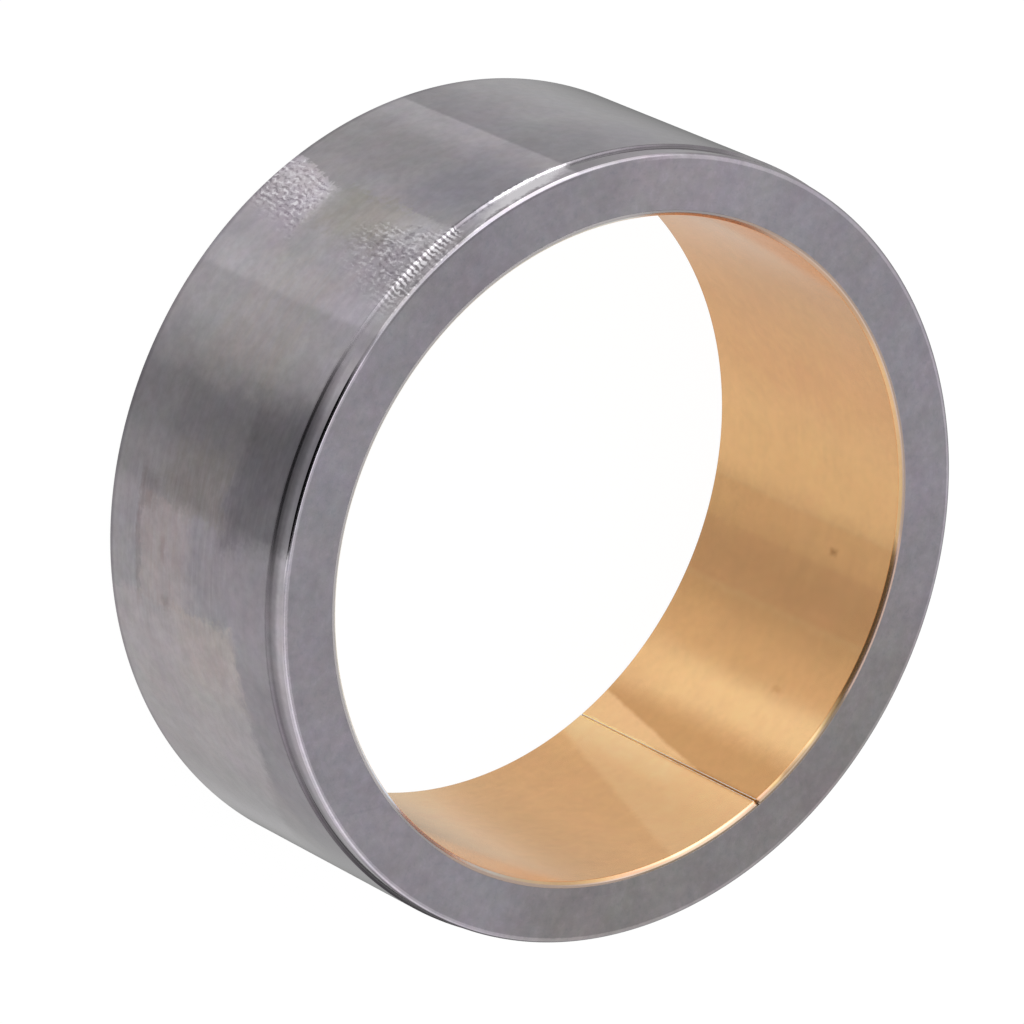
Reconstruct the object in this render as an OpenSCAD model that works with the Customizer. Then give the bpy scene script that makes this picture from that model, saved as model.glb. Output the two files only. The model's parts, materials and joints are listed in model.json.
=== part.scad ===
// Plain bushing: a turned steel shell with a thin bronze liner wrapped inside it.
// Millimetres. +Z runs along the bore axis, from the plain end at z = 0 to the stepped end.
// The origin is the centre of the plain end face, on which the bushing stands.

/* [Bushing] */
// Diameter of the running bore
bore_d = 62; // [30:0.5:110]
// Length of the bushing along its axis
length = 28; // [12:0.5:90]
// Width of the 45 degree chamfer at each mouth of the bore
bore_chamfer = 0.35; // [0.1:0.05:1.5]

/* [Bronze liner] */
// Wall thickness of the bronze liner
liner_t = 0.55; // [0.3:0.05:2.5]
// Angle of the liner's butt joint about the axis, measured from +X
joint_angle = 60; // [0:5:355]
// Gap of the butt joint at the stepped end
joint_gap_top = 0.2; // [0.05:0.05:0.6]
// Gap of the butt joint at the plain end
joint_gap_base = 0.1; // [0.05:0.05:0.6]
// Width of the broken edge on each side of the butt joint
joint_edge = 0.1; // [0.05:0.05:0.25]

/* [Steel shell] */
// Wall thickness of the steel shell
shell_t = 5.45; // [2:0.05:12]
// Width of the 45 degree chamfer round the plain end
base_chamfer = 0.4; // [0.1:0.05:1.5]

/* [Pilot step] */
// Length of the pilot land, from the stepped end's face to the top of the shoulder
pilot_length = 2.1; // [1:0.1:8]
// How far the pilot land lies below the outside, on the radius
pilot_step = 0.25; // [0.1:0.05:1.2]
// Width of the 45 degree chamfer between the pilot land and the face
pilot_chamfer = 0.25; // [0.05:0.05:0.6]

/* [Hidden] */

// Facets of a preview circle
$fn = 240;
// How far a cutter runs past the surface that it cuts
overcut = 1;

bore_r = bore_d / 2;
// The liner's outside is the shell's seat: the two meet face to face
seat_r = bore_r + liner_t;
outer_r = seat_r + shell_t;
pilot_r = outer_r - pilot_step;
shoulder_top = length - pilot_length;

// How far each wall of the butt joint leans from the axis
joint_lean = atan((joint_gap_top - joint_gap_base) / (2 * length));
// Half of the gap halfway up
joint_half_gap = (joint_gap_top + joint_gap_base) / 4;

// Half section of the shell, from its seat outwards: base chamfer, outside,
// 45 degree shoulder, pilot land and its chamfer
shell_section = [
    [seat_r, 0],
    [outer_r - base_chamfer, 0],
    [outer_r, base_chamfer],
    [outer_r, shoulder_top - pilot_step],
    [pilot_r, shoulder_top],
    [pilot_r, length - pilot_chamfer],
    [pilot_r - pilot_chamfer, length],
    [seat_r, length],
];

// Half sections of the cuts that chamfer both mouths of the bore, liner and shell alike
module bore_mouths() {
    mouth = [
        [bore_r - overcut, -overcut],
        [bore_r + bore_chamfer + overcut, -overcut],
        [bore_r - overcut, bore_chamfer + overcut],
    ];
    polygon(mouth);
    translate([0, length])
        mirror([0, 1])
            polygon(mouth);
}

// The wedge of air between the two ends of the wrapped strip
module joint_gap() {
    top = joint_gap_top / 2 + overcut * tan(joint_lean);
    base = joint_gap_base / 2 - overcut * tan(joint_lean);
    translate([bore_r - overcut, 0, 0])
        rotate([90, 0, 90])
            linear_extrude(height = liner_t + 2 * overcut)
                polygon([
                    [-base, -overcut],
                    [base, -overcut],
                    [top, length + overcut],
                    [-top, length + overcut],
                ]);
}

// The bar that breaks one edge of the butt joint along the bore
module joint_edge_bar(side) {
    width = joint_edge * sqrt(2);
    translate([bore_r, side * joint_half_gap, length / 2])
        rotate([-side * joint_lean, 0, 0])
            rotate([0, 0, 45])
                cube([width, width, length + 2 * overcut], center = true);
}

module butt_joint() {
    rotate([0, 0, joint_angle]) {
        joint_gap();
        for (side = [-1, 1])
            joint_edge_bar(side);
    }
}

module steel_shell() {
    color([0.55, 0.54, 0.56])
        rotate_extrude()
            difference() {
                polygon(shell_section);
                bore_mouths();
            }
}

module bronze_liner() {
    color([0.85, 0.66, 0.43])
        difference() {
            rotate_extrude()
                difference() {
                    translate([bore_r, 0])
                        square([liner_t, length]);
                    bore_mouths();
                }
            butt_joint();
        }
}

steel_shell();
bronze_liner();
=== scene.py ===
"""The looks of a plain bushing: a turned steel shell with a wrapped bronze liner pressed into it.

Lengths are in millimetres, as on a maker's drawing, and become metres where a mesh is made. Angles
about the bore axis are in degrees from +X, and heights run from the plain end up to the stepped end.
"""

import json
import logging
import math
from dataclasses import dataclass, fields
from enum import Enum
from functools import partial, reduce
from typing import Callable, Sequence

import bmesh
import bpy
from mathutils import Matrix, Vector

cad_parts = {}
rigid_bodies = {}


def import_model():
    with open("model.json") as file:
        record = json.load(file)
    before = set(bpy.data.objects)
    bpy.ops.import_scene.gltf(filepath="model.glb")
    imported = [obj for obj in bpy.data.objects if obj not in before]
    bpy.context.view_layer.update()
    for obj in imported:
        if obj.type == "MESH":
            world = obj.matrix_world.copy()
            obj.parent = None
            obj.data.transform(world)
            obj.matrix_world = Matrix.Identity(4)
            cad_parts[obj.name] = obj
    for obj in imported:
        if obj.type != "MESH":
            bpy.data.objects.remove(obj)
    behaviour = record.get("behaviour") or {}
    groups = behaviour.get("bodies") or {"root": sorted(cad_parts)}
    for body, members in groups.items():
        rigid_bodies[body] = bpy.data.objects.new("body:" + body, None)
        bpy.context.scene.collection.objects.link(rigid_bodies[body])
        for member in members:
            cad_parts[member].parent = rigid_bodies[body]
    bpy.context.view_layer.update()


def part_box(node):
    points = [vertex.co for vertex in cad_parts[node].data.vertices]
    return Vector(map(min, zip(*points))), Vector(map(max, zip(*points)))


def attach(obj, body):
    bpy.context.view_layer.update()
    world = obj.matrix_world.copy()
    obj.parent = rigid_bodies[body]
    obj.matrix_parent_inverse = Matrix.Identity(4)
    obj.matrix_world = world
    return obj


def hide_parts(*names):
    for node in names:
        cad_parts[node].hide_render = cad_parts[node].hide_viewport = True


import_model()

LOG = logging.getLogger("bushing")
MM = 0.001
BODY = "root"
NUMBER = "NodeSocketFloat"
SHADER_TREE = "ShaderNodeTree"
STREAKS_PER_DEGREE = 0.16
STREAKS_PER_MM = 1.9
STREAK_EDGES = (0.35, 0.65)
NOISE_TO_MM = 2.0
NOISE_TO_DEGREES = 3.4
NOISE_RANGE = (0.25, 0.75)

Colour = tuple[float, float, float]
Corner = tuple[float, float, float]
Socket = bpy.types.NodeSocket
Material = bpy.types.Material
Piece = bpy.types.Object


class Surface(Enum):
    """The record's material slots."""

    STEEL = "steel"
    BRONZE = "bronze"


class Graph:
    """A node tree that is being wired."""

    def __init__(self, tree: bpy.types.NodeTree) -> None:
        """Takes the tree that the nodes go into, and empties it."""
        self.tree = tree
        tree.nodes.clear()

    def feed(self, socket: Socket, value: object) -> None:
        """Links an output to a socket, or sets the socket's own value.

        Args:
            socket: The input to feed.
            value: Another node's output, or a plain value. A colour needs no alpha.
        """
        if isinstance(value, Socket):
            self.tree.links.new(value, socket)
        elif socket.type == "RGBA":
            socket.default_value = (*value, 1.0)
        else:
            socket.default_value = value

    def node(self, kind: str, inputs: dict | None = None, **settings: object) -> bpy.types.Node:
        """Adds one node.

        Args:
            kind: Blender's name for the type of node.
            inputs: What feeds each socket, by the socket's name or number.
            settings: The node's own settings.

        Returns:
            The new node.
        """
        made = self.tree.nodes.new(kind)
        for name, value in settings.items():
            setattr(made, name, value)
        for name, value in (inputs or {}).items():
            self.feed(made.inputs[name], value)
        return made

    def math(self, operation: str, *values: object) -> Socket:
        """Adds a Math node and returns its value."""
        return self.node("ShaderNodeMath", dict(enumerate(values)), operation=operation).outputs[0]

    def fold(self, operation: str, *values: object) -> Socket:
        """Takes values together, from the first to the last."""
        return reduce(partial(self.math, operation), values)

    def times(self, *values: object) -> Socket:
        """Multiplies values."""
        return self.fold("MULTIPLY", *values)

    def plus(self, base: object, value: object, share: object) -> Socket:
        """Adds a share of a value to a base."""
        return self.math("MULTIPLY_ADD", value, share, base)

    def ramp(self, value: object, start: float, end: float, low: float = 0.0, high: float = 1.0) -> Socket:
        """Goes smoothly from low to high as value goes from start to end."""
        inputs = {"Value": value, "From Min": start, "From Max": end, "To Min": low, "To Max": high}
        return self.node("ShaderNodeMapRange", inputs, interpolation_type="SMOOTHSTEP").outputs["Result"]

    def step(self, value: object, at: float, blur: float, low: float = 0.0, high: float = 1.0) -> Socket:
        """Goes smoothly from low to high within the blur on either side of a place."""
        return self.ramp(value, at - blur, at + blur, low, high)

    def noise(self, vector: object, scale: float, detail: float = 2.0, roughness: float = 0.5,
              output: str = "Fac") -> Socket:
        """Adds a Noise Texture and returns its grey value, or its Color, which holds three noises."""
        inputs = {"Vector": vector, "Scale": scale, "Detail": detail, "Roughness": roughness}
        return self.node("ShaderNodeTexNoise", inputs).outputs[output]

    def blend(self, factor: object, first: object, second: object, way: str = "MIX") -> Socket:
        """Goes from the first colour to its mix with the second as factor goes from 0 to 1."""
        inputs = {"Factor": factor, "A": first, "B": second}
        return self.node("ShaderNodeMix", inputs, data_type="RGBA", blend_type=way).outputs["Result"]

    def tint(self, colour: object, factor: object, by: object) -> Socket:
        """Multiplies a colour by another as far as factor says."""
        return self.blend(factor, colour, by, "MULTIPLY")

    def point(self, x: object = 0.0, y: object = 0.0, z: object = 0.0) -> Socket:
        """Puts three values together as a vector."""
        return self.node("ShaderNodeCombineXYZ", {"X": x, "Y": y, "Z": z}).outputs["Vector"]


class Part:
    """A node group with named inputs and outputs."""

    def __init__(self, name: str, kind: str, inputs: dict[str, tuple], outputs: dict[str, str]) -> None:
        """Makes the empty group.

        Args:
            name: The group's name.
            kind: The type of node tree.
            inputs: The socket type and the default of each named input.
            outputs: The socket type of each named output.
        """
        self.tree = bpy.data.node_groups.new(name, kind)
        self.ids: dict[str, str] = {}
        for label, (socket_type, default) in inputs.items():
            made = self.tree.interface.new_socket(label, in_out="INPUT", socket_type=socket_type)
            self.ids[label] = made.identifier
            if default is not None:
                made.default_value = default
        for label, socket_type in outputs.items():
            self.tree.interface.new_socket(label, in_out="OUTPUT", socket_type=socket_type)
        self.graph = Graph(self.tree)
        self.given = self.graph.node("NodeGroupInput").outputs

    def finish(self, results: dict[str, Socket]) -> "Part":
        """Links the results to the group's outputs and returns the group."""
        self.graph.node("NodeGroupOutput", results)
        return self

    def place(self, graph: Graph, inputs: dict | None = None) -> bpy.types.NodeOutputs:
        """Places the group in a shader tree and returns its outputs."""
        return graph.node("ShaderNodeGroup", inputs, node_tree=self.tree).outputs


def ring_place_part() -> Part:
    """Makes the group that says where on the ring a point lies.

    Returns:
        The group. Angle is in degrees, and Radius, Height and Spot, the point itself, in millimetres.
        Streaks run round the ring, from 0 to 1. Sway and Fray are a slow and a quick noise about
        nought, Across in degrees and Up in millimetres.
    """
    part = Part("ring_place", SHADER_TREE, {}, {
        "Angle": NUMBER, "Radius": NUMBER, "Height": NUMBER, "Spot": "NodeSocketVector", "Streaks": NUMBER,
        "Sway Across": NUMBER, "Sway Up": NUMBER, "Fray Across": NUMBER, "Fray Up": NUMBER,
    })
    g = part.graph
    place = g.node("ShaderNodeTexCoord").outputs["Object"]
    in_mm = g.node("ShaderNodeVectorMath", {0: place, "Scale": 1 / MM}, operation="SCALE")
    spot = in_mm.outputs["Vector"]
    x, y, z = g.node("ShaderNodeSeparateXYZ", {0: spot}).outputs
    angle = g.math("WRAP", g.times(g.math("ARCTAN2", y, x), math.degrees(1.0)), 360.0, 0.0)
    radius = g.node("ShaderNodeVectorMath", {0: g.point(x, y)}, operation="LENGTH").outputs["Value"]
    stretched = g.point(g.times(angle, STREAKS_PER_DEGREE), g.times(z, STREAKS_PER_MM), radius)
    streaks = g.ramp(g.noise(stretched, 1.0, roughness=0.6), *STREAK_EDGES)
    results = {"Angle": angle, "Radius": radius, "Height": z, "Spot": spot, "Streaks": streaks}
    for name, scale, detail in (("Sway", 0.45, 2.0), ("Fray", 2.4, 1.0)):
        waves = g.noise(spot, scale, detail, roughness=0.6, output="Color")
        across, up, _ = g.node("ShaderNodeSeparateXYZ", {0: waves}).outputs
        results[name + " Across"] = g.plus(-NOISE_TO_DEGREES / 2, across, NOISE_TO_DEGREES)
        results[name + " Up"] = g.plus(-NOISE_TO_MM / 2, up, NOISE_TO_MM)
    return part.finish(results)


def soft_area_part() -> Part:
    """Makes the group that masks a four-sided area with soft edges.

    Returns:
        The group. Its output Mask is 1 inside the area and fades to 0 over the blur of each edge.
    """
    labels = ("Across", "Up", "Start", "End", "Low", "High", "Start Blur", "End Blur", "Low Blur",
              "High Blur", "Lean")
    part = Part("soft_area", SHADER_TREE, {label: (NUMBER, 1.0) for label in labels}, {"Mask": NUMBER})
    g, given = part.graph, part.given
    middle = g.times(g.math("ADD", given["Start"], given["End"]), 0.5)
    half = g.times(g.math("SUBTRACT", given["End"], given["Start"]), 0.5)
    mid_up = g.times(g.math("ADD", given["Low"], given["High"]), 0.5)
    leaning = g.times(g.math("SUBTRACT", given["Up"], mid_up), given["Lean"])
    side = g.math("WRAP", g.fold("SUBTRACT", given["Across"], middle, leaning), 180.0, -180.0)
    reaches = []
    for way, measure, edge, blur in (
        (1.0, side, half, "Start Blur"), (-1.0, side, half, "End Blur"),
        (1.0, given["Up"], g.times(given["Low"], -1.0), "Low Blur"),
        (-1.0, given["Up"], given["High"], "High Blur"),
    ):
        rate = g.math("DIVIDE", way, given[blur])
        reaches.append(g.plus(g.math("DIVIDE", edge, given[blur]), measure, rate))
    return part.finish({"Mask": g.ramp(g.fold("MINIMUM", *reaches), -0.5, 0.5)})


def turning_part() -> Part:
    """Makes the group for the fine lines that a turning tool leaves round the ring.

    Returns:
        The group. Its output Lines runs from 0 to 1 across the lines.
    """
    inputs = {label: (NUMBER, 1.0) for label in ("Angle", "Along", "Lines per mm")}
    part = Part("turning_lines", SHADER_TREE, inputs, {"Lines": NUMBER})
    g, given = part.graph, part.given
    turn = g.times(given["Angle"], math.radians(1.0))
    row = g.times(given["Along"], given["Lines per mm"])
    fine = g.point(row, g.math("SINE", turn), g.math("COSINE", turn))
    return part.finish({"Lines": g.noise(fine, 1.0, detail=3.0, roughness=0.6)})


@dataclass(frozen=True)
class Parts:
    """The node groups that several finishes share."""

    place: Part
    area: Part
    lines: Part

    @staticmethod
    def make() -> "Parts":
        """Builds each group once."""
        return Parts(ring_place_part(), soft_area_part(), turning_part())


@dataclass(frozen=True)
class Area:
    """A soft-edged area of the ring or of the studio.

    It runs from start to end in degrees about the axis, and from low to high in millimetres on the ring
    or in degrees of elevation in the studio. Each blur is the width over which that edge fades, and the
    lean turns the area's sides, in degrees for each step up. Left alone, low and high lie past both ends
    of the bushing.
    """

    start: float
    end: float
    start_blur: float = 1
    end_blur: float = 1
    low: float = -2
    high: float = 30
    low_blur: float = 1
    high_blur: float = 1
    lean: float = 0

    def mask(self, graph: Graph, part: Part, across: object, up: object) -> Socket:
        """Places the soft_area group, to measure across about the axis and up in height or radius."""
        values = {field.name.replace("_", " ").title(): getattr(self, field.name) for field in fields(self)}
        return part.place(graph, {"Across": across, "Up": up, **values})["Mask"]


def all_round(low: float, high: float, blur: float) -> Area:
    """Makes an area that runs right round the ring, with the same blur at both its edges."""
    return Area(-90, 450, low=low, high=high, low_blur=blur, high_blur=blur)


class Zone(Enum):
    """The turned surfaces that marks lie on, and so what their areas are measured up by."""

    WALL = "Height"
    FACE = "Radius"


@dataclass(frozen=True)
class Mark:
    """One patch of film, rub or smudge, or of painted highlight or shade: its tint multiplies the metal's
    own colour.

    Sway and fray say how far slow and quick waves move its edges, and streaked how much of it the
    streaks round the ring take away.
    """

    name: str
    area: Area
    tint: Colour
    sway: float = 0.4
    fray: float = 0.3
    streaked: float = 0.0


@dataclass(frozen=True)
class Metal:
    """What the two metals' finishes have in common.

    Clouds change the metal's hue by (clouds in a millimetre, share of the spread), and others its tone.
    """

    name: str
    tone: Colour
    metallic: float
    lines_per_mm: float
    line_depth: float
    line_contrast: float
    cloud_contrast: float
    hue_spread: float
    face_lines: float = 1.7
    hue_clouds: tuple[tuple[float, float], ...] = ((0.16, 1.0), (0.75, 0.8))
    tone_clouds: tuple[float, ...] = (0.3, 1.1)

    def start(self, parts: Parts) -> "Dressing":
        """Makes the material, and the places on the ring that its patterns read.

        Args:
            parts: The shared node groups.

        Returns:
            The material, ready for the patterns of one metal.
        """
        material = bpy.data.materials.new(self.name)
        material.use_nodes = True
        graph = Graph(material.node_tree)
        place = parts.place.place(graph)
        along = graph.math("ADD", place["Height"], graph.times(place["Radius"], self.face_lines))
        lines = parts.lines.place(graph, {
            "Angle": place["Angle"], "Along": along, "Lines per mm": self.lines_per_mm,
        })["Lines"]
        return Dressing(self, material, graph, place, lines, parts)


@dataclass(frozen=True)
class Dressing:
    """A material while its patterns are being made."""

    metal: Metal
    material: Material
    graph: Graph
    place: bpy.types.NodeOutputs
    lines: Socket
    parts: Parts

    def mask(self, area: Area, sway: float = 0.0, fray: float = 0.0, zone: Zone = Zone.WALL) -> Socket:
        """Places the mask of an area of the ring, with its edges made ragged.

        Args:
            area: The area.
            sway: How far slow waves move its edges, in millimetres.
            fray: How far quick ones do.
            zone: The surface that it lies on.

        Returns:
            The output that holds the mask.
        """
        g, place = self.graph, self.place
        across, up = place["Angle"], place[zone.value]
        for name, amount in (("Sway", sway), ("Fray", fray)):
            if amount:
                across = g.plus(across, place[name + " Across"], amount)
                up = g.plus(up, place[name + " Up"], amount)
        return area.mask(g, self.parts.area, across, up)

    def shade(self, colour: object, pattern: object, contrast: float) -> Socket:
        """Lightens and darkens a colour by a pattern that runs from 0 to 1, as far as contrast says."""
        level = self.graph.ramp(pattern, *NOISE_RANGE, 1.0 - contrast, 1.0 + contrast)
        return self.graph.tint(colour, 1.0, self.graph.point(level, level, level))

    def cast(self) -> Socket:
        """Gives the metal's tone its slight changes of hue, its clouds and its tool lines.

        Returns:
            The output that holds the colour.
        """
        g, spot, metal = self.graph, self.place["Spot"], self.metal
        colour: object = metal.tone
        for scale, share in metal.hue_clouds:
            spread = metal.hue_spread * share
            hue = g.node("ShaderNodeVectorMath", {
                0: g.noise(spot, scale, output="Color"), 1: (spread,) * 3, 2: (1.0 - spread / 2,) * 3,
            }, operation="MULTIPLY_ADD")
            colour = g.tint(colour, 1.0, hue.outputs["Vector"])
        for scale in metal.tone_clouds:
            clouds = g.noise(spot, scale, detail=3.0, roughness=0.55)
            colour = self.shade(colour, clouds, metal.cloud_contrast)
        return self.shade(colour, self.lines, metal.line_contrast)

    def marked(self, colour: object, marks: Sequence[Mark], within: object = 1.0,
               zone: Zone = Zone.WALL) -> Socket:
        """Lays marks over a colour.

        Args:
            colour: The colour so far.
            marks: The marks.
            within: A mask that holds them all.
            zone: The surface that they lie on.

        Returns:
            The output that holds the new colour.
        """
        g = self.graph
        for mark in marks:
            mask = self.mask(mark.area, mark.sway, mark.fray, zone)
            if mark.streaked:
                mask = g.times(mask, g.plus(1.0, self.place["Streaks"], -mark.streaked))
            colour = g.tint(colour, g.times(mask, within), mark.tint)
            colour.node.label = mark.name
        return colour

    def finish(self, colour: object, roughness: object, dull: object) -> Material:
        """Adds the shader.

        Args:
            colour: The base colour.
            roughness: The roughness.
            dull: A mask of what isn't bare metal.

        Returns:
            The finished material.
        """
        g, metal = self.graph, self.metal
        depth = metal.line_depth * MM
        bump = g.node("ShaderNodeBump", {"Height": self.lines, "Strength": 1.0, "Distance": depth})
        shader = g.node("ShaderNodeBsdfPrincipled", {
            "Base Color": colour, "Roughness": roughness, "Normal": bump.outputs["Normal"],
            "Metallic": g.plus(metal.metallic, dull, -metal.metallic),
        })
        g.node("ShaderNodeOutputMaterial", {"Surface": shader.outputs["BSDF"]})
        return self.material


WALL_MARKS = (
    Mark("dull shoulder end", Area(196, 262, 12, 14, 17, 30, 9), (0.92, 0.91, 0.93), 1),
    Mark("grey left top", Area(200, 213.5, 6, 4, 17, 25.4, 6), (0.88, 0.88, 0.9), 1),
    Mark("left tide mark", Area(213.5, 219.3, 7, 0.7), (0.88, 0.87, 0.885), 0, 0.1),
    # painted reflection: a bright strip with a crisp left edge
    Mark("clean strip", Area(219.3, 224.5, 0.7, 7), (1.28, 1.27, 1.28), 0, 0.1),
    Mark("blue film", Area(223.5, 236.5, 5, 5, 16, 27, 7, 2), (0.98, 1, 1.035), 1),
    Mark("lilac haze", Area(238.8, 257.5, 1.5, 0.8, 16, 25.7, 8, 0.8), (1.05, 1.04, 1.065), 0.3),
    Mark("brown smudge", Area(238.8, 246.5, 2, 6, 10, 20.5, 5, 6), (0.9, 0.9, 0.8), 1, 1.2, 0.2),
    Mark("straw film", Area(252.5, 271, 5, 6, 9, 19.4, 7, 3), (1.03, 0.99, 0.94), 1.8, 1, 0.5),
    Mark("smoke", Area(270.4, 291.6, 9, 4.4, 17.9, 30, 3.4, lean=-0.3), (0.565, 0.555, 0.58), 1, 0.5, 0.12),
    Mark("thin smoke", Area(272, 291, 7, 2.6, 8, 17.8, 7, 3), (0.84, 0.835, 0.84), 1.2, 0.6, 0.25),
    Mark("smoke's edge", Area(273, 284, 1.6, 7, -2, 17.6), (0.93, 0.93, 0.935), 0.8, 0.4),
    Mark("brown film", Area(281.5, 291, 4, 2, 8.5, 17.8, 4, 2), (1.03, 1, 0.935), 1.2, 0.8, 0.4),
    Mark("lilac film", Area(292, 375, 3.4, 40, 20.3, 30, 1.6), (0.9, 0.885, 0.91), 0.8, 0.6),
    Mark("lower lilac film", Area(291.4, 305, 2, 1.4, 12.8, 20.6, 3, 1.6),
         (0.93, 0.915, 0.945), 1.4, 0.8, 0.2),
    Mark("rose patch", Area(291, 306, 1.8, 1.4, 5.2, 12.8, 0.9, 3.6), (1.15, 1.06, 1.02), 1, 0.8, 0.4),
    Mark("rose line", Area(288, 307, 5, 4, 4.6, 5.25, 0.5, 0.5), (0.84, 0.79, 0.77), 0.35, 0.3, 0.3),
    Mark("rose speck", Area(304.6, 306.6, 2.2, 2.2, 8.8, 9.7, 1.2, 1.2), (0.8, 0.77, 0.76), 0.5, 0.5),
    Mark("small rose speck", Area(296.6, 299, 2.2, 2.2, 8.7, 9.2, 0.8, 0.8), (0.9, 0.85, 0.84), 0.5, 0.5),
    Mark("brown smear", Area(288.4, 292.8, 2.6, 1.6, 4.9, 7.4, 1.6, 2), (0.8, 0.775, 0.77), 0.8, 0.6, 0.2),
    Mark("pale zone", Area(305.8, 375, 1.2, 40, -2, 20.2, 1, 1.8), (1.11, 1.075, 1.055), 1.2, 0.7, 0.1),
    Mark("tan streak", Area(305, 316, 1.4, 8, 11, 20.4, 8, 1.6), (1.09, 1.045, 0.995), 1.2, 0.8, 0.3),
    Mark("streaks", Area(284, 312, 8, 8, 2, 19, 3, 3), (0.93, 0.925, 0.93), 0.6, 0.6, 1),
    Mark("far shade", Area(309, 375, 10, 40, 20.4, 30, 2.4), (0.86, 0.85, 0.86), 0.8, 0.4),
    Mark("slanting shade", Area(334.8, 375, 5, 40, 14, 21, 3, 2, -3.4), (0.8, 0.79, 0.8), 0.8, 0.4),
    # painted shade towards the far side of the wall, standing in for a dark reflection there
    Mark("far smoke", Area(342, 385, 14, 40, 17, 30, 6), (0.45, 0.44, 0.45), 0.5),
    Mark("far end", Area(333, 375, 14, 40), (0.78, 0.78, 0.785), 0.6),
    Mark("lower lilac haze", Area(238.5, 249.5, 0.9, 7, -2, 8.8, 1, 2.6, 0.3), (1.12, 1.09, 1.13), 0.4, 0.5),
    Mark("lower shine", Area(238.2, 243.6, 0.4, 5, -2, 8.8, 1, 2.6, 0.3), (1.42, 1.41, 1.41), 0.4, 0.5),
    Mark("upper shine", Area(238.6, 244.2, 0.8, 2, 18, 25.7, 6, 0.6), (1.25, 1.28, 1.23), 0.4, 0.5),
    Mark("dark shoulder", Area(266, 296, 6, 10, 25.72, 26.15, 0.2, 0.4), (0.8, 0.8, 0.8), 0, 0.05),
    # painted highlight on the upper pilot land and painted shade on its lower part, standing in for its
    # slight curve
    Mark("light upper land", Area(266, 352, 12, 12, 26.95, 30, 0.7), (1.5, 1.5, 1.5), 0, 0.1),
    Mark("shaded lower land", Area(264, 375, 8, 40, 25.5, 26.5, 0.3, 0.9), (0.74, 0.73, 0.74), 0, 0.1),
    Mark("shaded far land", Area(324, 375, 20, 40, 25.6, 27, 0.3, 1.2), (0.72, 0.72, 0.72), 0, 0.1),
    # painted highlight on the pilot land, with some burnish
    Mark("rubbed land", Area(220, 237.5, 1.6, 5, 25.6, 26.9, 0.3), (1.4, 1.39, 1.4), 0.2, 0.4),
    Mark("dull left shoulder", Area(190, 219.2, 9, 0.8, 25.45, 26, 0.2, 0.3), (0.66, 0.65, 0.66), 0, 0.1),
    Mark("dull shoulder", Area(225.5, 238.6, 1.5, 0.8, 25.45, 26, 0.2, 0.3), (0.62, 0.61, 0.62), 0.2),
    # painted shade along the foot, standing in for the dark reflection in the base chamfer
    Mark("foot line", all_round(0.1, 0.85, 0.5), (0.76, 0.75, 0.77), 0, 0.08),
)

FACE_MARKS = (
    # painted highlight along the rounded lip, with some edge wear, and painted shade on its left part
    Mark("bright lip", Area(261, 566, 5, 10, 36.27, 36.6, 0.12, 0.1), (1.5, 1.48, 1.48), 0, 0.04),
    Mark("dull lip", Area(219, 257, 8, 5, 36.3, 36.46, 0.14, 0.12), (0.78, 0.77, 0.78), 0, 0.05),
    Mark("light face", Area(180, 210, 30, 14, 20, 40), (1.12, 1.12, 1.11), 0.6),
    Mark("dull left face", Area(232, 250, 14, 14, 20, 40), (0.9, 0.9, 0.91), 0.6),
    Mark("dull right face", Area(12, 100, 16, 30, 20, 40), (0.85, 0.845, 0.775), 0.6),
    Mark("scratch", Area(334.1, 334.5, 0.4, 0.4, 32.2, 35.8, 0.8, 0.8, -1.1), (0.93, 0.93, 0.94), 0.1, 0.05),
)

BORE_MARKS = (
    Mark("left glow", Area(34, 60.5, 12, 0.2), (1.09, 1.1, 1.14)),
    Mark("left shade", Area(26, 48.5, 16, 1.8, lean=-0.52), (0.91, 0.86, 0.8), 0.3, 0.1),
    Mark("light by the joint", Area(55.5, 60.5, 4, 0.2, -2, 17, 1, 4), (1.07, 1.1, 1.15), 0.2, 0.1),
    # painted reflection bands: a dim amber band, a darker core and side, and a lighter side beyond them
    Mark("amber film", Area(79.6, 92, 5, 4), (0.91, 0.86, 0.8)),
    Mark("dark core", Area(92.4, 102.4, 1.2, 1.2), (0.95, 0.88, 0.85), 0.3),
    Mark("dark side", Area(102.4, 109.6, 1.2, 1.2), (1, 0.95, 0.9), 0.3),
    Mark("orange side", Area(110, 124, 1.5, 14), (1.06, 1.05, 1.02), 0.3),
    Mark("amber end", Area(129, 205, 14, 30), (0.93, 0.87, 0.86), 1),
    # painted light towards both ends of the bore, where it mirrors a dark part of the studio, with a rose
    # tone
    Mark("rose end", Area(-27, 20, 30, 18, lean=-0.5), (1.16, 1.24, 1.5), 0.8),
    Mark("far rose end", Area(160, 205, 18, 30, lean=0.5), (1.14, 1.22, 1.45), 0.8),
    # painted shadow at the left edge of the mouth
    Mark("dim left edge", Area(-25, 11, 30, 10, 26.4, 30, 1.6), (0.8, 0.87, 0.96)),
    Mark("speck", Area(104.9, 105.6, 1.5, 1.5, 19.2, 19.9), (0.58, 0.5, 0.4), 0, 0.25),
    Mark("faint speck", Area(79.2, 80.2, 0.9, 0.9, 19.3, 20.2, 0.8, 0.8), (0.88, 0.84, 0.78), 0.2, 0.4),
)

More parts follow.
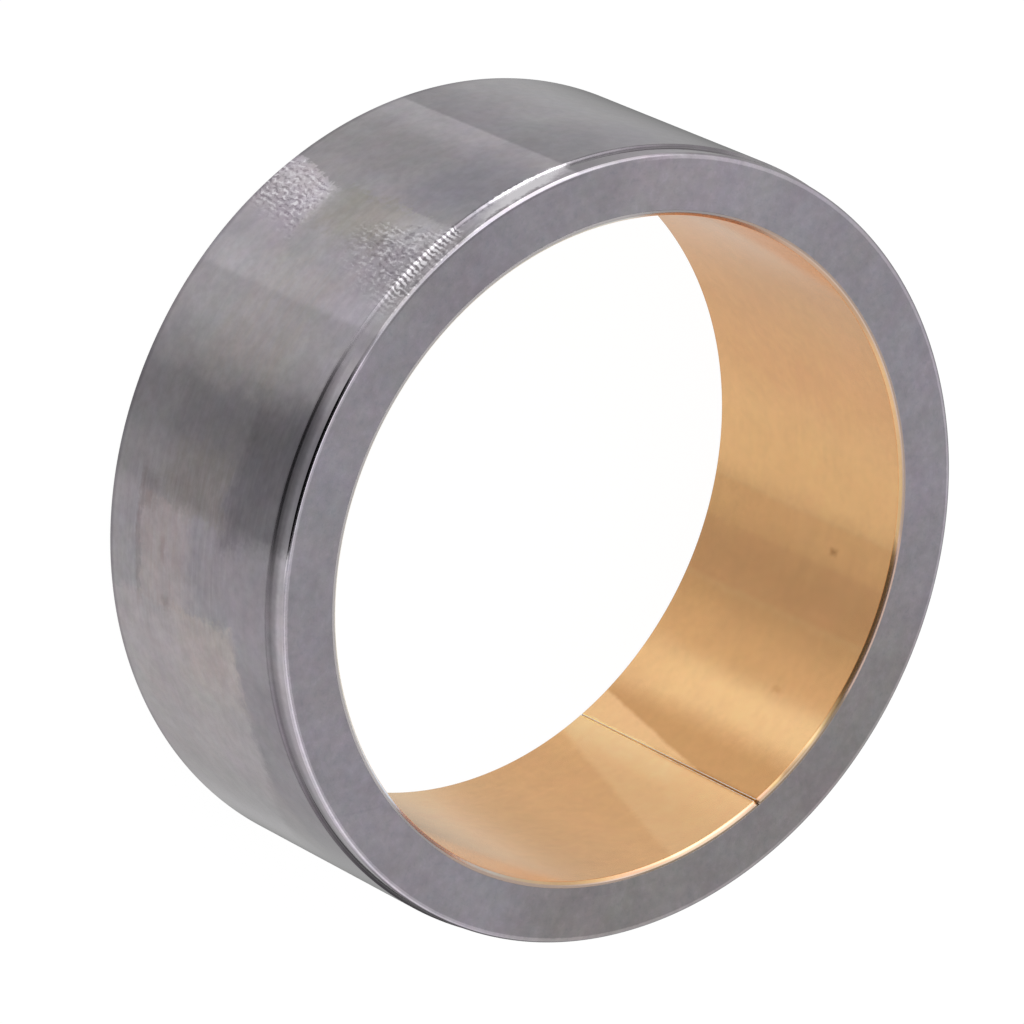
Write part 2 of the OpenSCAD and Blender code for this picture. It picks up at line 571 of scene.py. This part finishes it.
MOUTH_MARKS = (
    Mark("glow at the mouth", Area(30, 63.6, 10, 1.4), (1, 0.92, 1.24)),
    Mark("light by the joint", Area(60.4, 66.4, 0.6, 3), (1.2, 1.36, 1.5)),
    Mark("dull mouth", Area(66.4, 73, 3, 3), (0.7, 0.7, 0.8)),
    Mark("dark mouth", Area(83, 112.6, 2, 4), (0.74, 0.7, 0.66)),
    Mark("soft far mouth", Area(150, 190, 12, 8), (0.7, 0.69, 0.8)),
    Mark("near mouth", Area(204, 342, 14, 12), (1.12, 1.4, 2)),
    Mark("rose mouth", Area(342, 366, 12, 8), (1, 1.16, 1.5)),
)

RIM_MARKS = (
    Mark("dull rim", Area(34, 84, 8, 3, 31.17, 31.7, 0.12, 0.05), (0.68, 0.67, 0.6), 0, 0),
    Mark("near rim", Area(190, 352, 12, 8, 31.1, 31.7, 0.12, 0.05), (0.77, 0.94, 1.15), 0, 0),
    Mark("light rim", Area(84, 112, 4, 4, 31.17, 31.7, 0.12, 0.05), (1.4, 1.3, 1.3), 0, 0),
)

RIGHT_OF_JOINT_MARKS = (
    Mark("shade", Area(50, 68.6, 1, 6), (0.77, 0.7, 0.61), 0.4, 0.2),
    Mark("wedge of light", Area(40, 61.8, 1, 1, -4, 32, lean=-0.34), (1.38, 1.56, 1.88), 0.2, 0.1),
    # painted reflection: a bright band right of the joint
    Mark("bright band", Area(70.6, 78.4, 4, 4, 6, 30, 14), (1.07, 1.12, 1.15), 0.3, 0.2),
)

JOINT_MARKS = (
    Mark("stain along the joint", Area(59.4, 60.6, 0.8, 0.8, 14, 30, 8), (0.8, 0.73, 0.62), 0, 0.1),
    Mark("dirt in the joint", Area(59.64, 60.36, 0.3, 0.3, 13, 30, 8), (0.84, 0.74, 0.56), 0, 0.16),
    Mark("dirt below", Area(59.76, 60.24, 0.3, 0.3, -2, 16.5, 1, 8), (0.82, 0.72, 0.62), 0, 0.16),
)


@dataclass(frozen=True)
class Chatter:
    """The marks of a tool that sang: broken strokes along the axis, and dashes across the shoulder.
    Their lit and dark sides are painted highlights and painted shade, not relief.

    The strokes lie in an upper and a lower patch, and the pilot land above the upper one has a painted
    highlight, with some burnish. Each pair of edges is the height in the wave where a stroke or a dash
    starts, and where it is full.
    """

    pitch: float = 0.78
    lean: float = -0.12
    sway: float = 0.5
    fray: float = 0.22
    strokes_per_degree: float = 1.9
    strokes_per_mm: float = 1.1
    breaks: float = 8.0
    bright_edges: tuple[float, float] = (0.1, 1.6)
    dark_edges: tuple[float, float] = (-0.1, -1.5)
    dash_edges: tuple[float, float] = (-0.5, 0.7)
    gap_edges: tuple[float, float] = (-0.2, -0.9)
    upper: Area = Area(240.2, 300, 1.6, 1, 17.5, 30, 8, 1, -0.36)
    upper_side: Area = Area(200, 247, 1, 8, lean=0.45)
    lower: Area = Area(238.9, 246.5, 0.9, 6, -2, 8.4, 1, 3, 0.3)
    lower_strength: float = 1.8
    land: Area = Area(238.7, 253, 1.2, 4, 25.9, 27.7, 0.3, 0.3)
    shoulder: Area = Area(238.3, 251.8, 0.8, 7, 25.45, 26.7, 0.4, 0.6)
    # painted highlight where the pilot land is worn
    rubbed: Area = Area(221.5, 233, 4, 8, 25.7, 27.45, 0.5, 0.7, 2.6)
    # shine and shadow are the colours of the painted highlights and the painted shade
    shine: Colour = (0.97, 0.94, 0.98)
    stroke_shine: float = 0.5
    dash_shine: float = 0.85
    shadow: Colour = (0.65, 0.635, 0.65)

    def lay(self, made: Dressing, colour: object, wall: object) -> tuple[Socket, Socket]:
        """Lays the marks over the wall.

        Args:
            made: The material.
            colour: The colour so far.
            wall: The mask of the wall.

        Returns:
            The colour with the marks, and the mask of what the strokes cover.
        """
        g, place = made.graph, made.place
        upper = g.times(made.mask(self.upper, 0.7, 0.7), made.mask(self.upper_side, 0.7, 0.7))
        land = made.mask(self.land, 0.3, 0.4)
        lower = g.times(made.mask(self.lower, 0.5, 0.7), self.lower_strength)
        covered = g.times(g.fold("MAXIMUM", upper, lower, land), wall)
        moved = g.plus(place["Angle"], place["Height"], self.lean)
        moved = g.plus(moved, place["Sway Across"], self.sway)
        moved = g.plus(moved, place["Fray Across"], self.fray)
        bars = g.math("SINE", g.times(moved, math.tau / self.pitch))
        along = g.times(place["Height"], self.strokes_per_mm)
        stroke = g.point(g.times(moved, self.strokes_per_degree), along)
        breaks = g.plus(-self.breaks / 2, g.noise(stroke, 1.0, roughness=0.6), self.breaks)
        mixed = g.plus(breaks, bars, 0.5)
        bright = g.times(g.ramp(mixed, *self.bright_edges), covered, self.stroke_shine)
        dark = g.times(g.ramp(mixed, *self.dark_edges), covered)
        shoulder = made.mask(self.shoulder, 0.0, 0.2)
        dashes = g.times(g.ramp(bars, *self.dash_edges), shoulder, self.dash_shine)
        shaded_gaps = g.times(g.ramp(bars, *self.gap_edges), shoulder, wall)
        rubbed = made.mask(self.rubbed, 0.6, 0.5)
        # painted shade: the strokes' dark sides and the shaded gaps between the dashes
        colour = g.tint(colour, g.math("MAXIMUM", dark, shaded_gaps), self.shadow)
        # painted highlights: the strokes' bright sides, the dashes and the worn land's sheen
        shining = g.times(g.fold("MAXIMUM", bright, dashes, rubbed), wall)
        return g.blend(shining, colour, self.shine), covered


@dataclass(frozen=True)
class SteelFinish(Metal):
    """Fine turned steel with films, rubs drawn as painted highlights, painted shade, chatter marks, and
    dirt at the foot of the liner's joint.

    The grain of its faces is (noise where a fleck starts, noise where it is full, tint), dark and light.
    """

    chatter: Chatter = Chatter()
    wall_radius: float = 36.64
    wall_blur: float = 0.04
    wall_roughness: float = 0.085
    face_roughness: float = 0.19
    face_tint: Colour = (1.0, 0.99, 1.045)
    grain_scale: float = 2.2
    grain: tuple[tuple[float, float, Colour], ...] = (
        (0.52, 0.70, (0.895, 0.915, 0.92)), (0.48, 0.30, (1.095, 1.08, 1.105)),
    )
    shoulder: Area = all_round(25.52, 26.08, 0.2)
    shoulder_roughness: float = 0.30
    chatter_roughness: float = 0.5
    seat: Area = all_round(0.4, 27.6, 0.2)
    seat_radius: float = 31.57
    seat_blur: float = 0.01
    light_dirt: Colour = (1.0, 0.70, 0.22)
    dark_dirt: Colour = (0.60, 0.29, 0.02)
    light_dirt_top: float = 8.0
    dark_dirt_foot: float = 17.0
    dirt_roughness: float = 0.45

    def build(self, parts: Parts) -> Material:
        """Makes the material.

        Args:
            parts: The shared node groups.

        Returns:
            The material.
        """
        made = self.start(parts)
        g, place = made.graph, made.place
        wall = g.step(place["Radius"], self.wall_radius, self.wall_blur)
        face = g.math("SUBTRACT", 1.0, wall)
        colour = made.marked(made.cast(), WALL_MARKS, wall)
        colour = made.marked(g.tint(colour, face, self.face_tint), FACE_MARKS, face, Zone.FACE)
        flecks = g.noise(place["Spot"], self.grain_scale, roughness=0.6)
        for start, full, tint in self.grain:
            colour = g.tint(colour, g.times(g.ramp(flecks, start, full), face), tint)
        colour, covered = self.chatter.lay(made, colour, wall)
        behind = g.step(place["Radius"], self.seat_radius, self.seat_blur, 1.0, 0.0)
        behind = g.times(behind, made.mask(self.seat))
        up_joint = g.ramp(place["Height"], self.light_dirt_top, self.dark_dirt_foot)
        colour = g.blend(behind, colour, g.blend(up_joint, self.light_dirt, self.dark_dirt))
        rough = g.plus(self.wall_roughness, face, self.face_roughness - self.wall_roughness)
        shoulder = g.times(made.mask(self.shoulder), wall)
        rougher = g.math("MAXIMUM", shoulder, g.times(covered, self.chatter_roughness))
        rough = g.plus(rough, rougher, self.shoulder_roughness - self.wall_roughness)
        rough = g.plus(rough, behind, self.dirt_roughness)
        return made.finish(colour, rough, behind)


@dataclass(frozen=True)
class BronzeFinish(Metal):
    """The bored running face of the bronze liner, and the steel back of its strip."""

    smoothest: float = 0.14
    roughest: float = 0.165
    haze_scale: float = 0.5
    haze_edges: tuple[float, float] = (0.3, 0.7)
    back_radius: float = 31.26
    back_blur: float = 0.06
    back_tone: Colour = (0.60, 0.46, 0.38)
    mid_height: float = 14.0
    end_distance: float = 13.55
    end_blur: float = 0.05
    mouth_radius: float = 31.035
    mouth_blur: float = 0.015
    mouth_tint: Colour = (0.83, 0.94, 1.08)
    near_mouth: Area = Area(208, 338, 10, 8)
    joint_angle: float = 60.0
    joint_blur: float = 0.1
    joint: Area = Area(59.67, 60.33, 0.1, 0.1)
    inside_tint: Colour = (1.15, 1.36, 0.46)
    inside_roughness: float = 0.55

    def build(self, parts: Parts) -> Material:
        """Makes the material.

        Args:
            parts: The shared node groups.

        Returns:
            The material.
        """
        made = self.start(parts)
        g, place = made.graph, made.place
        right = g.step(place["Angle"], self.joint_angle, self.joint_blur)
        colour = made.marked(made.cast(), BORE_MARKS)
        colour = made.marked(made.marked(colour, RIGHT_OF_JOINT_MARKS, right), JOINT_MARKS)
        from_middle = g.math("ABSOLUTE", g.math("SUBTRACT", place["Height"], self.mid_height))
        ends = g.step(from_middle, self.end_distance, self.end_blur)
        mouth = g.times(g.step(place["Radius"], self.mouth_radius, self.mouth_blur), ends)
        colour = made.marked(g.tint(colour, mouth, self.mouth_tint), MOUTH_MARKS, mouth)
        back = g.step(place["Radius"], self.back_radius, self.back_blur)
        colour = g.blend(g.times(back, ends), colour, self.back_tone)
        colour = made.marked(colour, RIM_MARKS, ends, Zone.FACE)
        inside = g.times(made.mask(self.joint), g.math("SUBTRACT", 1.0, ends))
        colour = g.tint(colour, inside, self.inside_tint)
        dull = g.math("MAXIMUM", inside, g.times(made.mask(self.near_mouth), mouth))
        haze = g.noise(place["Spot"], self.haze_scale)
        rough = g.ramp(haze, *self.haze_edges, self.smoothest, self.roughest)
        rough = g.plus(rough, dull, self.inside_roughness)
        return made.finish(colour, rough, dull)


@dataclass(frozen=True)
class Section:
    """The half section that a ring is turned to, as corners in order round it.

    A corner is its radius from the axis, its height, and how far it is rounded. A point on each of its
    flanks, held back from the rounding, keeps the flat beside it flat.
    """

    corners: tuple[Corner, ...]
    held_back: float
    arc_steps: int = 6

    def outline(self) -> list[tuple[float, float]]:
        """Rounds the corners.

        Returns:
            The points of the closed outline, as radius and height.
        """
        points: list[tuple[float, float]] = []
        sharp = [Vector((radius, height)) for radius, height, _ in self.corners]
        for index, at in enumerate(sharp):
            ways = [(side - at).normalized() for side in (sharp[index - 1], sharp[(index + 1) % len(sharp)])]
            points += self.turn(at, ways, self.corners[index][2])
        return points

    def turn(self, at: Vector, ways: list[Vector], rounding: float) -> list[tuple[float, float]]:
        """Makes the points of one rounded corner.

        Args:
            at: The sharp corner.
            ways: The directions to the corners before and after it.
            rounding: The radius of the rounding.

        Returns:
            The points from one flank to the other.
        """
        half = ways[0].angle(ways[1]) / 2
        reach = rounding / math.tan(half)
        centre = at + (ways[0] + ways[1]).normalized() * rounding / math.sin(half)
        start = at + ways[0] * reach
        sweep = (start - centre).angle_signed(at + ways[1] * reach - centre)
        arc = [centre + Matrix.Rotation(-sweep * step / self.arc_steps, 2) @ (start - centre)
               for step in range(self.arc_steps + 1)]
        held = [at + way * (reach + self.held_back) for way in ways]
        return [tuple(point) for point in (held[0], *arc, held[1])]


def placed(name: str, data: bpy.types.ID) -> Piece:
    """Adds an object to the scene.

    Args:
        name: The object's name.
        data: Its mesh or camera.

    Returns:
        The object, at the origin.
    """
    made = bpy.data.objects.new(name, data)
    bpy.context.scene.collection.objects.link(made)
    return made


class Lathe:
    """Turns half sections to rings with one Geometry Nodes tree."""

    JOIN = 0.001

    def __init__(self) -> None:
        """Builds the tree."""
        self.part = self.tree()

    def tree(self) -> Part:
        """Builds the tree that carries the outline of a section round the axis.

        Returns:
            The group. A gap of more than nothing leaves the ring open at the joint angle.
        """
        part = Part("turned_ring", "GeometryNodeTree", {
            "Section": ("NodeSocketGeometry", None), "Stations": ("NodeSocketInt", 720),
            "Joint Angle": (NUMBER, 0.0), "Joint Height": (NUMBER, 1.0),
            "Gap at Base": (NUMBER, 0.0), "Gap at Top": (NUMBER, 0.0), "Metal": ("NodeSocketMaterial", None),
        }, {"Ring": "NodeSocketGeometry"})
        part.tree.is_modifier = True
        g, given = part.graph, part.given
        size = g.node("GeometryNodeAttributeDomainSize", {"Geometry": given["Section"]})
        count = size.outputs["Point Count"]
        row = g.math("ADD", count, 1.0)
        stations = g.math("ADD", given["Stations"], 1.0)
        ring = g.node("GeometryNodeMeshGrid", {"Vertices X": stations, "Vertices Y": row}).outputs["Mesh"]
        index = g.node("GeometryNodeInputIndex").outputs["Index"]
        station = g.math("FLOOR", g.math("DIVIDE", g.math("ADD", index, 0.5), row))
        corner = g.math("SUBTRACT", index, g.times(station, row))
        last = g.math("COMPARE", corner, count, 0.5)
        corner = g.math("SUBTRACT", corner, g.times(last, count))
        outline = g.node("GeometryNodeSampleIndex", {
            "Geometry": given["Section"], "Index": corner,
            "Value": g.node("GeometryNodeInputPosition").outputs["Position"],
        }, data_type="FLOAT_VECTOR", domain="POINT").outputs["Value"]
        radius, _, height = g.node("ShaderNodeSeparateXYZ", {0: outline}).outputs
        rise = g.math("DIVIDE", height, given["Joint Height"])
        widening = g.math("SUBTRACT", given["Gap at Top"], given["Gap at Base"])
        gap = g.plus(given["Gap at Base"], rise, widening)
        margin = g.math("ARCSINE", g.math("DIVIDE", g.times(gap, 0.5), radius))
        share = g.math("DIVIDE", station, given["Stations"])
        sweep = g.math("SUBTRACT", math.tau, g.times(margin, 2.0))
        turn = g.plus(margin, share, sweep)
        angle = g.math("ADD", turn, g.times(given["Joint Angle"], math.radians(1.0)))
        x, y = (g.times(radius, g.math(way, angle)) for way in ("COSINE", "SINE"))
        for kind, inputs in (
            ("GeometryNodeSetPosition", {"Position": g.point(x, y, height)}),
            ("GeometryNodeMergeByDistance", {"Distance": self.JOIN * MM}),
            ("GeometryNodeSetShadeSmooth", {}),
            ("GeometryNodeRealizeInstances", {}),
            ("GeometryNodeSetMaterial", {"Material": given["Metal"]}),
        ):
            ring = g.node(kind, {"Geometry": ring, **inputs}).outputs["Geometry"]
        return part.finish({"Ring": ring})

    def turn(self, name: str, section: Section, metal: Material, **sizes: float) -> Piece:
        """Turns a section to a ring.

        Args:
            name: The name of the piece.
            section: The half section.
            metal: The material.
            sizes: Other inputs of the tree, with underscores for the spaces in their names.

        Returns:
            The ring, as an object with a plain mesh.
        """
        mesh = bpy.data.meshes.new(name + "_section")
        points = [(radius * MM, 0.0, height * MM) for radius, height in section.outline()]
        mesh.from_pydata(points, [(i, (i + 1) % len(points)) for i in range(len(points))], [])
        blank = placed(name + "_blank", mesh)
        modifier = blank.modifiers.new("turned_ring", "NODES")
        modifier.node_group = self.part.tree
        modifier[self.part.ids["Metal"]] = metal
        for label, value in sizes.items():
            modifier[self.part.ids[label.replace("_", " ")]] = value
        turned = bpy.data.meshes.new_from_object(blank.evaluated_get(bpy.context.evaluated_depsgraph_get()))
        turned.name = name
        bpy.data.objects.remove(blank)
        bpy.data.meshes.remove(mesh)
        return placed(name, turned)


def face_outwards(shape: bmesh.types.BMesh) -> None:
    """Turns the faces of a closed shape outwards.

    Args:
        shape: The shape.
    """
    bmesh.ops.recalc_face_normals(shape, faces=shape.faces)
    if shape.calc_volume(signed=True) < 0:
        bmesh.ops.reverse_faces(shape, faces=shape.faces)


def reworked(piece: Piece, work: Callable[[bmesh.types.BMesh], None]) -> Piece:
    """Changes a piece's mesh.

    Args:
        piece: The piece.
        work: What is done to its mesh.

    Returns:
        The piece.
    """
    shape = bmesh.new()
    shape.from_mesh(piece.data)
    work(shape)
    shape.to_mesh(piece.data)
    shape.free()
    return piece


@dataclass
class SteelShell:
    """The turned steel shell, with its pilot step at the stepped end."""

    lathe: Lathe
    outer_radius: float
    seat_radius: float
    length: float
    base_chamfer: float = 0.4
    pilot_length: float = 2.1
    pilot_step: float = 0.25
    pilot_chamfer: float = 0.25
    stations: int = 1080

    def section(self) -> Section:
        """Draws the shell's half section.

        Returns:
            The section, with the step and both chamfers.
        """
        pilot = self.outer_radius - self.pilot_step
        shoulder = self.length - self.pilot_length
        return Section((
            (self.seat_radius, 0.0, 0.03),
            (self.outer_radius - self.base_chamfer, 0.0, 0.12),
            (self.outer_radius, self.base_chamfer, 0.25),
            (self.outer_radius, shoulder - self.pilot_step, 0.10),
            (pilot, shoulder, 0.60),
            (pilot, self.length - self.pilot_chamfer, 0.08),
            (pilot - self.pilot_chamfer, self.length, 0.25),
            (self.seat_radius, self.length, 0.03),
        ), held_back=0.02)

    def build(self, metal: Material) -> Piece:
        """Turns the shell in its steel."""
        ring = self.lathe.turn("turned_shell", self.section(), metal, Stations=self.stations)
        return reworked(ring, face_outwards)


@dataclass
class BronzeLiner:
    """The bronze strip that is wrapped into the shell, with its butt joint."""

    lathe: Lathe
    bore_radius: float
    seat_radius: float
    length: float
    bore_chamfer: float = 0.35
    joint_angle: float = 60.0
    joint_gap_top: float = 0.2
    joint_gap_base: float = 0.1
    joint_edge: float = 0.1
    stations: int = 1079

    def section(self) -> Section:
        """Draws the strip's half section.

        Returns:
            The section, chamfered at both mouths.
        """
        mouth = self.bore_radius + self.bore_chamfer
        return Section((
            (self.bore_radius, self.bore_chamfer, 0.12),
            (mouth, 0.0, 0.02),
            (self.seat_radius, 0.0, 0.01),
            (self.seat_radius, self.length, 0.01),
            (mouth, self.length, 0.02),
            (self.bore_radius, self.length - self.bore_chamfer, 0.12),
        ), held_back=0.012)

    def close_joint(self, shape: bmesh.types.BMesh) -> None:
        """Closes the strip's two ends at the joint and breaks their edges along the bore.

        Args:
            shape: The strip, open at the joint.
        """
        rims = [edge for edge in shape.edges if edge.is_boundary]
        caps = bmesh.ops.holes_fill(shape, edges=rims, sides=0)["faces"]
        face_outwards(shape)
        inner = (self.bore_radius + self.bore_chamfer / 4) * MM
        edges = {edge for cap in caps for edge in cap.edges
                 if all(vert.co.xy.length < inner for vert in edge.verts)}
        bmesh.ops.bevel(shape, geom=list(edges), offset=self.joint_edge * MM, offset_type="WIDTH",
                        segments=3, profile=0.5, affect="EDGES")

    def build(self, metal: Material) -> Piece:
        """Wraps the strip and closes it.

        Args:
            metal: Its bronze.

        Returns:
            The liner.
        """
        strip = self.lathe.turn(
            "wrapped_liner", self.section(), metal, Stations=self.stations, Joint_Angle=self.joint_angle,
            Joint_Height=self.length * MM, Gap_at_Base=self.joint_gap_base * MM,
            Gap_at_Top=self.joint_gap_top * MM,
        )
        return reworked(strip, self.close_joint)


class Band(Enum):
    """How high a card hangs: its lower and upper edge in degrees up, and how far each fades.

    The upright walls mirror the low band, and the chamfers the high one.
    """

    LOW = (-74, 3, 8, 6)
    HIGH = (3, 60, 6, 8)
    OVERHEAD = (63, 82, 6, 8)
    ZENITH = (80, 110, 10, 10)
    FLOOR = (-110, -75, 8, 8)


@dataclass(frozen=True)
class Card:
    """A soft card, lamp or flag of the studio, by where it hangs seen from the bushing.

    Azimuths run from +X towards +Y, in degrees.
    """

    name: str
    band: Band
    start: float
    end: float
    start_blur: float
    end_blur: float
    level: float

    def area(self) -> Area:
        """Returns the area of the studio that the card fills."""
        return Area(self.start, self.end, self.start_blur, self.end_blur, *self.band.value)


STUDIO_CARDS = (
    Card("left spill", Band.LOW, 199, 207.6, 12, 1, 0.7),
    Card("front left card", Band.LOW, 207.6, 245, 1, 1.5, 0.79),
    Card("front lamp", Band.LOW, 236, 245, 12, 1.5, 0.88),
    Card("front card", Band.LOW, 245, 311.8, 1.5, 6, 0.73),
    Card("front flag", Band.LOW, 267, 311.8, 30, 6, 0.41),
    Card("light beside the flag", Band.LOW, 295, 311.8, 16, 6, 0.52),
    Card("right card", Band.LOW, 311.8, 390, 6, 20, 0.66),
    Card("right lamp", Band.LOW, 335, 368, 24, 20, 0.71),
    Card("back flag", Band.LOW, 76, 114, 34, 46, 0.2),
    Card("high left card", Band.HIGH, 168, 246.5, 20, 1.5, 1.55),
    Card("high left lamp", Band.HIGH, 182, 214, 16, 8, 2.45),
    Card("camera flag's light side", Band.HIGH, 246.5, 262, 1.5, 1, 0.6),
    Card("camera flag", Band.HIGH, 257, 306.5, 10, 1, 0.005),
    Card("high right card", Band.HIGH, 306.5, 400, 1, 40, 0.72),
    Card("high right spark", Band.HIGH, 306.5, 312, 1, 4, 1),
    Card("high right lamp", Band.HIGH, 334, 400, 30, 40, 1.1),
    Card("overhead lamp", Band.OVERHEAD, 226, 320, 30, 30, 1.5),
    Card("zenith", Band.ZENITH, -90, 450, 1, 1, 1),
    Card("floor shade", Band.FLOOR, -90, 450, 1, 1, 0.12),
)


@dataclass(frozen=True)
class Studio:
    """A pale floor with soft cards and lamps all round."""

    room_level: float = 0.60
    backdrop_level: float = 1.0
    floor_level: float = 0.97
    floor_shade: float = 0.06
    floor_half: float = 3.0

    def build_world(self, area_part: Part) -> None:
        """Hangs the cards round the bushing, and a plain backdrop where only the camera looks.

        Args:
            area_part: The group that masks an area.
        """
        world = bpy.data.worlds.new("studio")
        bpy.context.scene.world = world
        world.use_nodes = True
        g = Graph(world.node_tree)
        way = g.node("ShaderNodeTexCoord").outputs["Generated"]
        x, y, z = g.node("ShaderNodeSeparateXYZ", {0: way}).outputs
        azimuth = g.times(g.math("ARCTAN2", y, x), math.degrees(1.0))
        elevation = g.times(g.math("ARCSINE", z), math.degrees(1.0))
        level: object = self.room_level
        for card in STUDIO_CARDS:
            mask = card.area().mask(g, area_part, azimuth, elevation)
            change = g.math("SUBTRACT", card.level, level)
            level = g.plus(level, mask, change)
            level.node.label = card.name
        seen = g.node("ShaderNodeLightPath").outputs["Is Camera Ray"]
        change = g.math("SUBTRACT", self.backdrop_level, level)
        strength = g.plus(level, seen, change)
        light = g.node("ShaderNodeBackground", {"Color": (1.0, 1.0, 1.0), "Strength": strength})
        g.node("ShaderNodeOutputWorld", {"Surface": light.outputs["Background"]})

    def build_floor(self) -> None:
        """Lays a pale floor under the plain end. It is lit evenly and takes only a faint shadow."""
        material = bpy.data.materials.new("pale_floor")
        material.use_nodes = True
        g = Graph(material.node_tree)
        matt = g.node("ShaderNodeBsdfDiffuse", {"Color": (self.floor_shade,) * 3})
        glow = g.node("ShaderNodeEmission", {"Strength": self.floor_level})
        both = g.node("ShaderNodeAddShader", {0: matt.outputs["BSDF"], 1: glow.outputs["Emission"]})
        g.node("ShaderNodeOutputMaterial", {"Surface": both.outputs["Shader"]})
        half = self.floor_half
        mesh = bpy.data.meshes.new("floor")
        corners = [(-half, -half, 0), (half, -half, 0), (half, half, 0), (-half, half, 0)]
        mesh.from_pydata(corners, [], [(0, 1, 2, 3)])
        mesh.materials.append(material)
        floor = placed("floor", mesh)
        floor.visible_glossy = False


@dataclass(frozen=True)
class Viewpoint:
    """The camera, by where the photograph shows the centre of the bushing's stepped face.

    The picture is 1024 pixels wide. The face's centre lies at centre_x and centre_y in it, and the bore
    axis points along axis_way, in degrees up from the picture's right.
    """

    picture: float = 1024.0
    focal_pixels: float = 9000.0
    sensor: float = 36.0
    distance: float = 805.6
    farthest_seen: float = 20.0
    elevation: float = 49.95
    centre_x: float = 624.9
    centre_y: float = 552.1
    axis_way: float = -25.11

    @staticmethod
    def axes(ahead: Vector, across: Vector) -> Matrix:
        """Makes three square axes, as columns: ahead, as near as can be to across, and what is left."""
        second = (across - ahead * across.dot(ahead)).normalized()
        return Matrix((ahead, second, ahead.cross(second))).transposed()

    def build(self, face_height: float) -> None:
        """Makes the camera and gives it to the scene.

        Args:
            face_height: The height of the stepped face.
        """
        middle = self.picture / 2
        sight = Vector((self.centre_x - middle, middle - self.centre_y, -self.focal_pixels)).normalized()
        tilt = math.radians(self.axis_way)
        on_picture = self.axes(sight, Vector((math.cos(tilt), math.sin(tilt), 0.0)))
        rise = math.radians(self.elevation)
        look = Vector((0.0, math.cos(rise), -math.sin(rise)))
        in_room = self.axes(look, Vector((0.0, 0.0, 1.0)))
        data = bpy.data.cameras.new("camera")
        data.sensor_width = self.sensor
        data.lens = self.focal_pixels * self.sensor / self.picture
        data.clip_end = self.farthest_seen
        camera = placed("camera", data)
        place = Vector((0.0, 0.0, face_height * MM)) - look * self.distance * MM
        turned = in_room @ on_picture.transposed()
        camera.matrix_world = Matrix.Translation(place) @ turned.to_4x4()
        bpy.context.scene.camera = camera


@dataclass
class Bushing:
    """The whole part: the shell and the liner in it."""

    steel: SteelFinish
    bronze: BronzeFinish
    liner_thickness: float = 0.55

    def build(self, parts: Parts) -> None:
        """Makes both pieces in the frame's own sizes and hands them to the frame.

        Args:
            parts: The shared node groups.
        """
        shell_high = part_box("steel_shell")[1] / MM
        liner_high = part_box("bronze_liner")[1] / MM
        lathe = Lathe()
        shell = SteelShell(lathe, shell_high.x, liner_high.x, shell_high.z)
        bore_radius = liner_high.x - self.liner_thickness
        liner = BronzeLiner(lathe, bore_radius, liner_high.x, liner_high.z)
        for ring, finish, node, surface in (
            (shell, self.steel, "steel_shell", Surface.STEEL),
            (liner, self.bronze, "bronze_liner", Surface.BRONZE),
        ):
            piece = ring.build(finish.build(parts))
            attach(piece, BODY)
            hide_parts(node)
            LOG.info("%s stands for %s with %d faces", piece.name, node, len(piece.data.polygons))


STEEL = SteelFinish(
    name="turned_steel", tone=(0.42, 0.397, 0.417), metallic=1.0, lines_per_mm=4.0, line_depth=0.0006,
    line_contrast=0.014, cloud_contrast=0.060, hue_spread=0.09,
)
BRONZE = BronzeFinish(
    name="liner_bronze", tone=(0.93, 0.56, 0.26), metallic=0.8, lines_per_mm=3.0, line_depth=0.0006,
    line_contrast=0.012, cloud_contrast=0.026, hue_spread=0.05,
)


def main() -> None:
    """Builds the stage, the camera and the bushing."""
    logging.basicConfig(level=logging.INFO, format="%(name)s: %(message)s")
    bpy.context.scene.view_settings.view_transform = "Standard"
    parts = Parts.make()
    studio = Studio()
    studio.build_world(parts.area)
    studio.build_floor()
    Viewpoint().build(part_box("steel_shell")[1].z / MM)
    Bushing(STEEL, BRONZE).build(parts)


if __name__ == "__main__":
    main()
